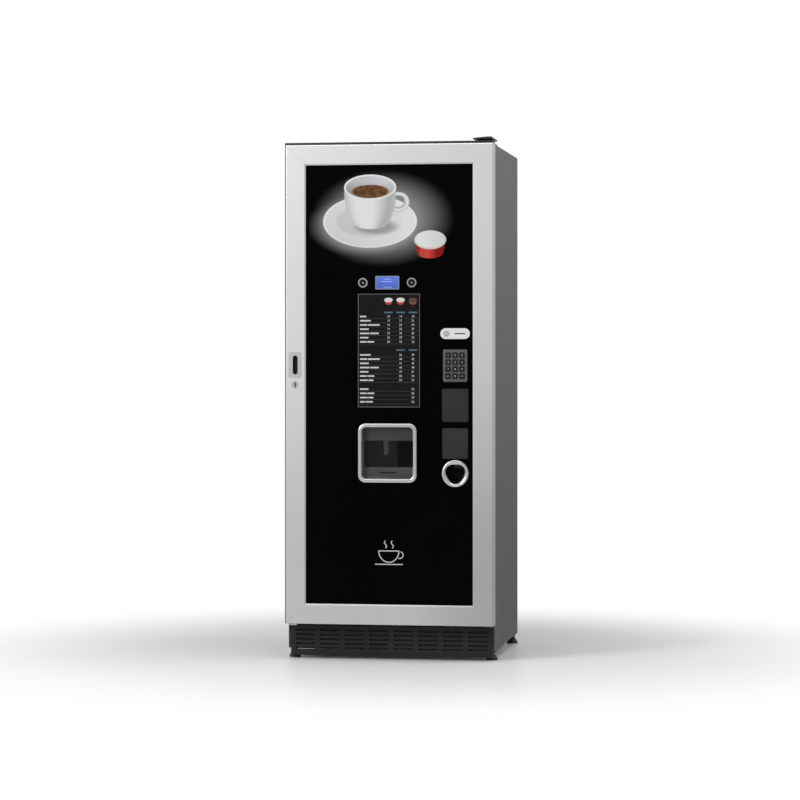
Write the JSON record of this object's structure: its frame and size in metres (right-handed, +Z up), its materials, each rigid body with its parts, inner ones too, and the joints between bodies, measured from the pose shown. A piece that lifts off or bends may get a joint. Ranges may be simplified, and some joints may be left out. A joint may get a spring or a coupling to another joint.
{
  "type": "hot coffee vending machine",
  "caption": "Floor-standing hot drinks machine: hinged glazed door with keypad, coin fittings and cup hatch, over a cabinet of brewing and dispensing gear.",
  "frame": {"origin": "on the floor under the middle of the machine", "axes": "+Z up, front face towards -Y, +X to the viewer's right"},
  "size_m": [0.75, 0.735, 1.8435],
  "materials": {
    "side_paint": "dark grey textured paint",
    "inner_paint": "grey paint on sheet steel",
    "grille_plastic": "black moulded plastic",
    "black_paint": "black paint",
    "zinc": "bright zinc plate",
    "stainless": "stainless sheet, lightly brushed",
    "pump_body": "moulded body with steel core",
    "tank_plastic": "translucent moulded plastic",
    "canister_plastic": "pale moulded plastic",
    "mixer_plastic": "moulded plastic",
    "magazine_plastic": "clear tubes on a moulded base",
    "brew_plastic": "dark reinforced plastic",
    "dispenser_plastic": "grey moulded plastic",
    "cups": "white paper cups in a clear turret",
    "bin_plastic": "black moulded plastic",
    "control_steel": "grey coated steel box",
    "fan_plastic": "black moulded plastic",
    "hose_silicone": "milky silicone tube",
    "inlet_brass": "machined brass",
    "foot_rubber": "black moulded feet on steel studs",
    "frame_silver": "satin silver finish",
    "pan_paint": "dark paint on sheet steel",
    "front_glass": "black back-painted glass",
    "menu_print": "printed panel behind a gloss film",
    "screen": "lit blue display in a thin frame",
    "bezel_silver": "satin metal rings",
    "keypad_metal": "mid-grey keypad plate",
    "coin_plate_silver": "satin silver plate",
    "cover_dark": "dark grey moulded covers",
    "ring_silver": "satin silver casting",
    "bowl_plastic": "black moulded plastic",
    "hatch_silver": "satin silver moulded bezel",
    "compartment_plastic": "grey moulded plastic",
    "tray_plastic": "dark grey moulded plastic",
    "spout_plastic": "mid-grey moulded plastic",
    "grip_metal": "satin silver cast handle plate",
    "coin_gear_plastic": "dark moulded housing",
    "cash_box_paint": "painted steel box",
    "flap_smoke": "smoked clear acrylic",
    "button_black": "black button with a pale dot",
    "return_button_metal": "satin metal button",
    "latch_black": "black lever",
    "lock_chrome": "plated lock barrel",
    "key_plastic": "dark moulded keys with pale legends"
  },
  "bodies": {
    "cabinet": {"left_panel": "side_paint", "right_panel": "side_paint", "rear_panel": "inner_paint", "top_panel": "inner_paint", "base_tray": "inner_paint", "base_grille": "grille_plastic", "door_hinges": "black_paint", "door_rest": "zinc", "equipment_shelf": "zinc", "boiler": "stainless", "water_pump": "pump_body", "water_tank": "tank_plastic", "canisters": "canister_plastic", "mixer_bowls": "mixer_plastic", "capsule_magazine": "magazine_plastic", "brew_unit": "brew_plastic", "cup_dispenser": "dispenser_plastic", "waste_bins": "bin_plastic", "control_box": "control_steel", "hoses": "hose_silicone", "inlet_valve": "inlet_brass", "levelling_feet": "foot_rubber"},
    "door": {"door_frame": "frame_silver", "door_pan": "pan_paint", "door_glass": "front_glass", "menu_card": "menu_print", "display": "screen", "button_bezels": "bezel_silver", "keypad_bezel": "keypad_metal", "coin_slot_plate": "coin_plate_silver", "cover_plates": "cover_dark", "coin_cup_ring": "ring_silver", "coin_bowl": "bowl_plastic", "hatch_bezel": "hatch_silver", "cup_compartment": "compartment_plastic", "cup_grid": "tray_plastic", "spouts": "spout_plastic", "handle_plate": "grip_metal", "coin_changer": "coin_gear_plastic"},
    "cup_turret": {"cup_turret": "cups"},
    "fan_rotor": {"fan_rotor": "fan_plastic"},
    "cash_box": {"cash_box": "cash_box_paint"},
    "hatch_flap": {"hatch_flap": "flap_smoke"},
    "left_button": {"left_button": "button_black"},
    "right_button": {"right_button": "button_black"},
    "coin_return_button": {"coin_return_button": "return_button_metal"},
    "latch_handle": {"latch_handle": "latch_black"},
    "lock_cylinder": {"lock_cylinder": "lock_chrome"},
    "key_1": {"key_1": "key_plastic"},
    "key_2": {"key_2": "key_plastic"},
    "key_3": {"key_3": "key_plastic"},
    "key_4": {"key_4": "key_plastic"},
    "key_5": {"key_5": "key_plastic"},
    "key_6": {"key_6": "key_plastic"},
    "key_7": {"key_7": "key_plastic"},
    "key_8": {"key_8": "key_plastic"},
    "key_9": {"key_9": "key_plastic"},
    "key_clear": {"key_clear": "key_plastic"},
    "key_0": {"key_0": "key_plastic"},
    "key_enter": {"key_enter": "key_plastic"}
  },
  "joints": [
    {"name": "door_hinge", "type": "hinge", "parent": "cabinet", "child": "door", "pos_m": [0.363, -0.32, 1], "axis": [0, 0, 1], "range_deg": [0, 105]},
    {"name": "turret_spin", "type": "hinge", "parent": "cabinet", "child": "cup_turret", "pos_m": [-0.236, -0.168, 1.4], "axis": [0, 0, 1], "continuous": true},
    {"name": "fan_spin", "type": "hinge", "parent": "cabinet", "child": "fan_rotor", "pos_m": [0, 0.34, 1.7], "axis": [0, 1, 0], "continuous": true},
    {"name": "hatch_flap_hinge", "type": "hinge", "parent": "door", "child": "hatch_flap", "pos_m": [-0.0035, -0.36, 0.8145], "axis": [-1, 0, 0], "range_deg": [0, 85]},
    {"name": "cash_box_slide", "type": "slide", "parent": "door", "child": "cash_box", "axis": [0, 1, 0], "range_m": [0, 0.08]},
    {"name": "left_button_press", "type": "slide", "parent": "door", "child": "left_button", "axis": [0, 1, 0], "range_m": [0, 0.002], "stiffness_N_per_m": 300},
    {"name": "right_button_press", "type": "slide", "parent": "door", "child": "right_button", "axis": [0, 1, 0], "range_m": [0, 0.002], "stiffness_N_per_m": 300},
    {"name": "coin_return_press", "type": "slide", "parent": "door", "child": "coin_return_button", "axis": [0, 1, 0], "range_m": [0, 0.004], "stiffness_N_per_m": 200},
    {"name": "latch_pull", "type": "hinge", "parent": "door", "child": "latch_handle", "pos_m": [-0.3195, -0.3425, 1.043], "axis": [0, 0, 1], "range_deg": [0, 22], "stiffness_Nm_per_rad": 0.4},
    {"name": "lock_turn", "type": "hinge", "parent": "door", "child": "lock_cylinder", "pos_m": [-0.3335, -0.34, 0.9725], "axis": [0, 1, 0], "range_deg": [0, 90]},
    {"name": "key_1_press", "type": "slide", "parent": "door", "child": "key_1", "axis": [0, 1, 0], "range_m": [0, 0.0015], "stiffness_N_per_m": 400},
    {"name": "key_2_press", "type": "slide", "parent": "door", "child": "key_2", "axis": [0, 1, 0], "range_m": [0, 0.0015], "stiffness_N_per_m": 400},
    {"name": "key_3_press", "type": "slide", "parent": "door", "child": "key_3", "axis": [0, 1, 0], "range_m": [0, 0.0015], "stiffness_N_per_m": 400},
    {"name": "key_4_press", "type": "slide", "parent": "door", "child": "key_4", "axis": [0, 1, 0], "range_m": [0, 0.0015], "stiffness_N_per_m": 400},
    {"name": "key_5_press", "type": "slide", "parent": "door", "child": "key_5", "axis": [0, 1, 0], "range_m": [0, 0.0015], "stiffness_N_per_m": 400},
    {"name": "key_6_press", "type": "slide", "parent": "door", "child": "key_6", "axis": [0, 1, 0], "range_m": [0, 0.0015], "stiffness_N_per_m": 400},
    {"name": "key_7_press", "type": "slide", "parent": "door", "child": "key_7", "axis": [0, 1, 0], "range_m": [0, 0.0015], "stiffness_N_per_m": 400},
    {"name": "key_8_press", "type": "slide", "parent": "door", "child": "key_8", "axis": [0, 1, 0], "range_m": [0, 0.0015], "stiffness_N_per_m": 400},
    {"name": "key_9_press", "type": "slide", "parent": "door", "child": "key_9", "axis": [0, 1, 0], "range_m": [0, 0.0015], "stiffness_N_per_m": 400},
    {"name": "key_clear_press", "type": "slide", "parent": "door", "child": "key_clear", "axis": [0, 1, 0], "range_m": [0, 0.0015], "stiffness_N_per_m": 400},
    {"name": "key_0_press", "type": "slide", "parent": "door", "child": "key_0", "axis": [0, 1, 0], "range_m": [0, 0.0015], "stiffness_N_per_m": 400},
    {"name": "key_enter_press", "type": "slide", "parent": "door", "child": "key_enter", "axis": [0, 1, 0], "range_m": [0, 0.0015], "stiffness_N_per_m": 400}
  ]
}
